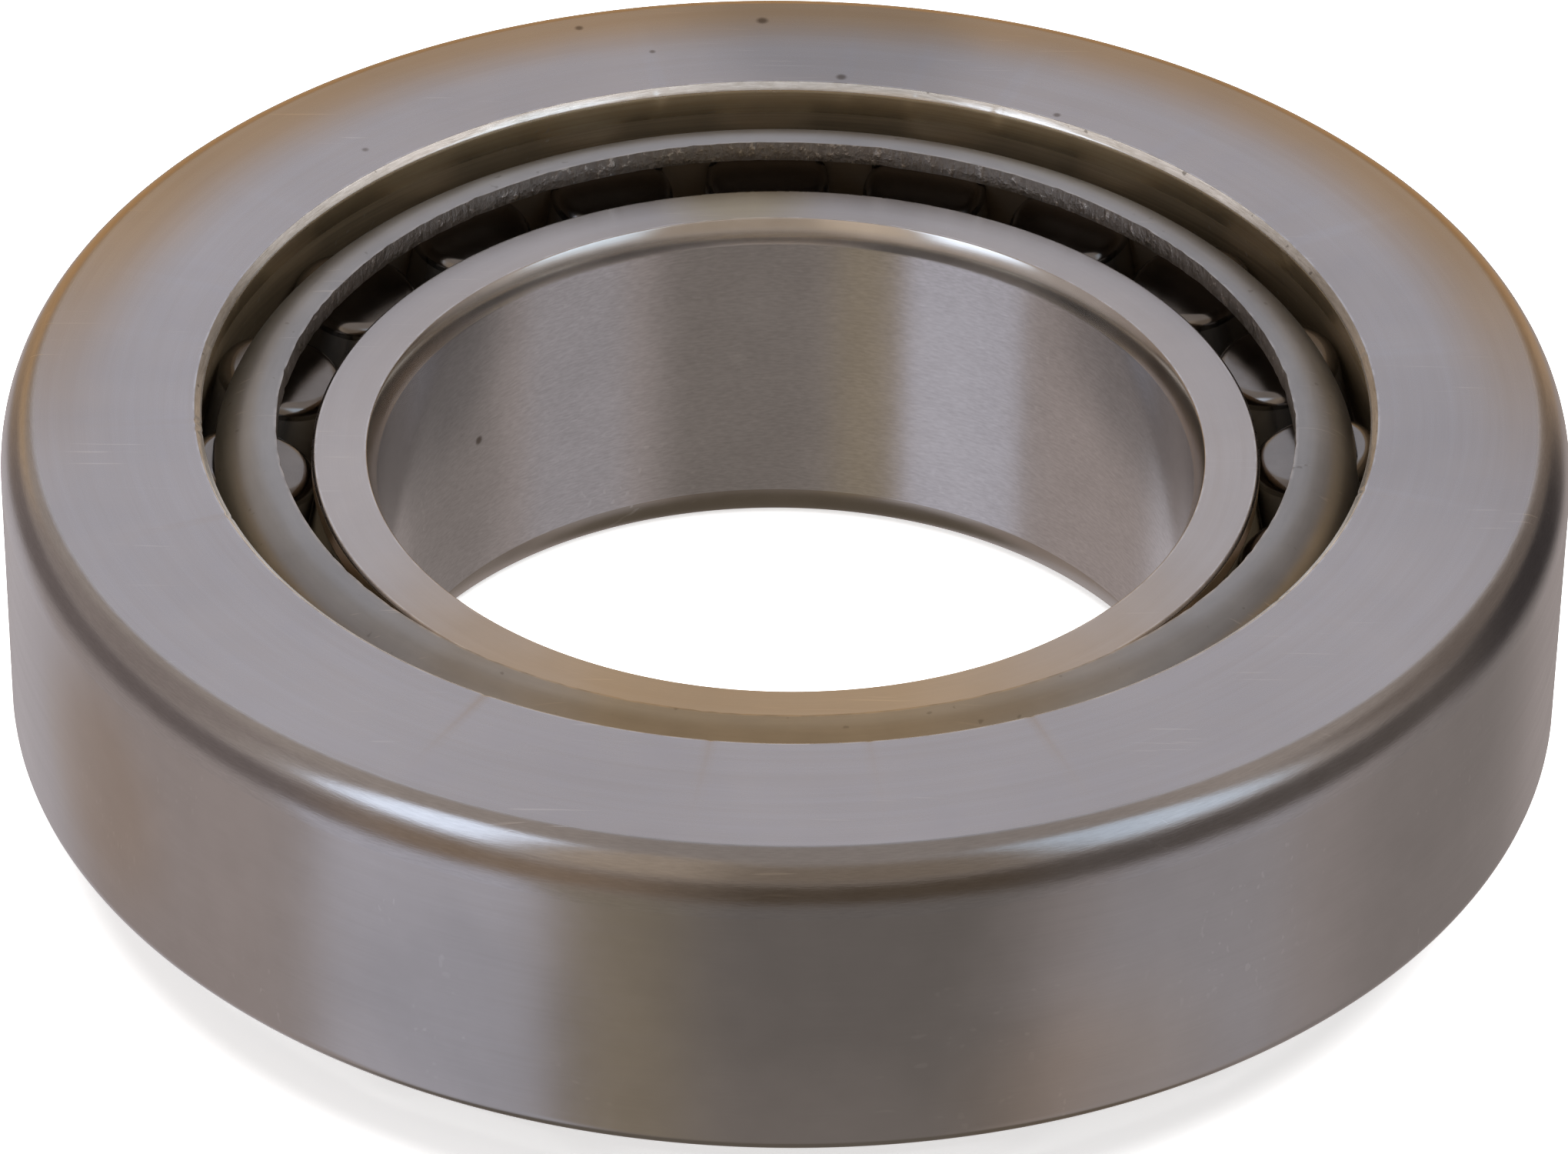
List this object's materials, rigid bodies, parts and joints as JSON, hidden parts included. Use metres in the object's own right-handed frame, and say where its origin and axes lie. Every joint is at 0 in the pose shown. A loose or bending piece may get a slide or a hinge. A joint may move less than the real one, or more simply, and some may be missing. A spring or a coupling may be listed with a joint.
{
  "type": "tapered roller bearing",
  "caption": "Single-row tapered roller bearing: separable outer ring, inner ring with two ribs, and a pressed steel cage of tapered rollers that roll between two conical raceways.",
  "frame": {"origin": "on the bearing axis, at the centre of the inner ring's back face, which is the lowest face", "axes": "+Z along the bearing axis, from the inner ring's back face towards the outer ring's back face; X and Y lie in the plane of that face, and one roller lies 2.5 degrees from +X"},
  "size_m": [0.085, 0.085, 0.0237],
  "materials": {
    "outer_ring": "ground bearing steel, satin, with fine turning and grinding marks",
    "inner_ring": "ground bearing steel, satin faces and a brushed bore",
    "cage": "pressed mild steel, smooth outside, rough at the sheared edge",
    "rollers": "ground and polished bearing steel"
  },
  "bodies": {
    "inner_ring": {"inner_ring": "inner_ring"},
    "outer_ring": {"outer_ring": "outer_ring"},
    "cage": {"cage": "cage"},
    "roller_01": {"roller_01": "rollers"},
    "roller_02": {"roller_02": "rollers"},
    "roller_03": {"roller_03": "rollers"},
    "roller_04": {"roller_04": "rollers"},
    "roller_05": {"roller_05": "rollers"},
    "roller_06": {"roller_06": "rollers"},
    "roller_07": {"roller_07": "rollers"},
    "roller_08": {"roller_08": "rollers"},
    "roller_09": {"roller_09": "rollers"},
    "roller_10": {"roller_10": "rollers"},
    "roller_11": {"roller_11": "rollers"},
    "roller_12": {"roller_12": "rollers"},
    "roller_13": {"roller_13": "rollers"},
    "roller_14": {"roller_14": "rollers"},
    "roller_15": {"roller_15": "rollers"},
    "roller_16": {"roller_16": "rollers"},
    "roller_17": {"roller_17": "rollers"},
    "roller_18": {"roller_18": "rollers"},
    "roller_19": {"roller_19": "rollers"},
    "roller_20": {"roller_20": "rollers"}
  },
  "joints": [
    {"name": "outer_ring_spin", "type": "hinge", "parent": "inner_ring", "child": "outer_ring", "pos_m": [0, 0, 0.0145], "axis": [0, 0, 1], "continuous": true},
    {"name": "cage_spin", "type": "hinge", "parent": "inner_ring", "child": "cage", "pos_m": [0, 0, 0.0125], "axis": [0, 0, 1], "continuous": true},
    {"name": "roller_01_spin", "type": "hinge", "parent": "cage", "child": "roller_01", "pos_m": [0.03039, 0.00133, 0.01252], "axis": [-0.223, -0.0097, 0.9748], "continuous": true},
    {"name": "roller_02_spin", "type": "hinge", "parent": "cage", "child": "roller_02", "pos_m": [0.02849, 0.01065, 0.01252], "axis": [-0.2091, -0.0782, 0.9748], "continuous": true},
    {"name": "roller_03_spin", "type": "hinge", "parent": "cage", "child": "roller_03", "pos_m": [0.02381, 0.01894, 0.01252], "axis": [-0.1747, -0.139, 0.9748], "continuous": true},
    {"name": "roller_04_spin", "type": "hinge", "parent": "cage", "child": "roller_04", "pos_m": [0.01679, 0.02537, 0.01252], "axis": [-0.1232, -0.1862, 0.9748], "continuous": true},
    {"name": "roller_05_spin", "type": "hinge", "parent": "cage", "child": "roller_05", "pos_m": [0.00813, 0.02931, 0.01252], "axis": [-0.0597, -0.2151, 0.9748], "continuous": true},
    {"name": "roller_06_spin", "type": "hinge", "parent": "cage", "child": "roller_06", "pos_m": [-0.00133, 0.03039, 0.01252], "axis": [0.0097, -0.223, 0.9748], "continuous": true},
    {"name": "roller_07_spin", "type": "hinge", "parent": "cage", "child": "roller_07", "pos_m": [-0.01065, 0.02849, 0.01252], "axis": [0.0782, -0.2091, 0.9748], "continuous": true},
    {"name": "roller_08_spin", "type": "hinge", "parent": "cage", "child": "roller_08", "pos_m": [-0.01894, 0.02381, 0.01252], "axis": [0.139, -0.1747, 0.9748], "continuous": true},
    {"name": "roller_09_spin", "type": "hinge", "parent": "cage", "child": "roller_09", "pos_m": [-0.02537, 0.01679, 0.01252], "axis": [0.1862, -0.1232, 0.9748], "continuous": true},
    {"name": "roller_10_spin", "type": "hinge", "parent": "cage", "child": "roller_10", "pos_m": [-0.02931, 0.00813, 0.01252], "axis": [0.2151, -0.0597, 0.9748], "continuous": true},
    {"name": "roller_11_spin", "type": "hinge", "parent": "cage", "child": "roller_11", "pos_m": [-0.03039, -0.00133, 0.01252], "axis": [0.223, 0.0097, 0.9748], "continuous": true},
    {"name": "roller_12_spin", "type": "hinge", "parent": "cage", "child": "roller_12", "pos_m": [-0.02849, -0.01065, 0.01252], "axis": [0.2091, 0.0782, 0.9748], "continuous": true},
    {"name": "roller_13_spin", "type": "hinge", "parent": "cage", "child": "roller_13", "pos_m": [-0.02381, -0.01894, 0.01252], "axis": [0.1747, 0.139, 0.9748], "continuous": true},
    {"name": "roller_14_spin", "type": "hinge", "parent": "cage", "child": "roller_14", "pos_m": [-0.01679, -0.02537, 0.01252], "axis": [0.1232, 0.1862, 0.9748], "continuous": true},
    {"name": "roller_15_spin", "type": "hinge", "parent": "cage", "child": "roller_15", "pos_m": [-0.00813, -0.02931, 0.01252], "axis": [0.0597, 0.2151, 0.9748], "continuous": true},
    {"name": "roller_16_spin", "type": "hinge", "parent": "cage", "child": "roller_16", "pos_m": [0.00133, -0.03039, 0.01252], "axis": [-0.0097, 0.223, 0.9748], "continuous": true},
    {"name": "roller_17_spin", "type": "hinge", "parent": "cage", "child": "roller_17", "pos_m": [0.01065, -0.02849, 0.01252], "axis": [-0.0782, 0.2091, 0.9748], "continuous": true},
    {"name": "roller_18_spin", "type": "hinge", "parent": "cage", "child": "roller_18", "pos_m": [0.01894, -0.02381, 0.01252], "axis": [-0.139, 0.1747, 0.9748], "continuous": true},
    {"name": "roller_19_spin", "type": "hinge", "parent": "cage", "child": "roller_19", "pos_m": [0.02537, -0.01679, 0.01252], "axis": [-0.1862, 0.1232, 0.9748], "continuous": true},
    {"name": "roller_20_spin", "type": "hinge", "parent": "cage", "child": "roller_20", "pos_m": [0.02931, -0.00813, 0.01252], "axis": [-0.2151, 0.0597, 0.9748], "continuous": true}
  ],
  "couplings": [
    {"joint": "cage_spin", "follows": "outer_ring_spin", "ratio": 0.56098},
    {"joint": "roller_01_spin", "follows": "outer_ring_spin", "ratio": 3.9368},
    {"joint": "roller_02_spin", "follows": "outer_ring_spin", "ratio": 3.9368},
    {"joint": "roller_03_spin", "follows": "outer_ring_spin", "ratio": 3.9368},
    {"joint": "roller_04_spin", "follows": "outer_ring_spin", "ratio": 3.9368},
    {"joint": "roller_05_spin", "follows": "outer_ring_spin", "ratio": 3.9368},
    {"joint": "roller_06_spin", "follows": "outer_ring_spin", "ratio": 3.9368},
    {"joint": "roller_07_spin", "follows": "outer_ring_spin", "ratio": 3.9368},
    {"joint": "roller_08_spin", "follows": "outer_ring_spin", "ratio": 3.9368},
    {"joint": "roller_09_spin", "follows": "outer_ring_spin", "ratio": 3.9368},
    {"joint": "roller_10_spin", "follows": "outer_ring_spin", "ratio": 3.9368},
    {"joint": "roller_11_spin", "follows": "outer_ring_spin", "ratio": 3.9368},
    {"joint": "roller_12_spin", "follows": "outer_ring_spin", "ratio": 3.9368},
    {"joint": "roller_13_spin", "follows": "outer_ring_spin", "ratio": 3.9368},
    {"joint": "roller_14_spin", "follows": "outer_ring_spin", "ratio": 3.9368},
    {"joint": "roller_15_spin", "follows": "outer_ring_spin", "ratio": 3.9368},
    {"joint": "roller_16_spin", "follows": "outer_ring_spin", "ratio": 3.9368},
    {"joint": "roller_17_spin", "follows": "outer_ring_spin", "ratio": 3.9368},
    {"joint": "roller_18_spin", "follows": "outer_ring_spin", "ratio": 3.9368},
    {"joint": "roller_19_spin", "follows": "outer_ring_spin", "ratio": 3.9368},
    {"joint": "roller_20_spin", "follows": "outer_ring_spin", "ratio": 3.9368}
  ]
}
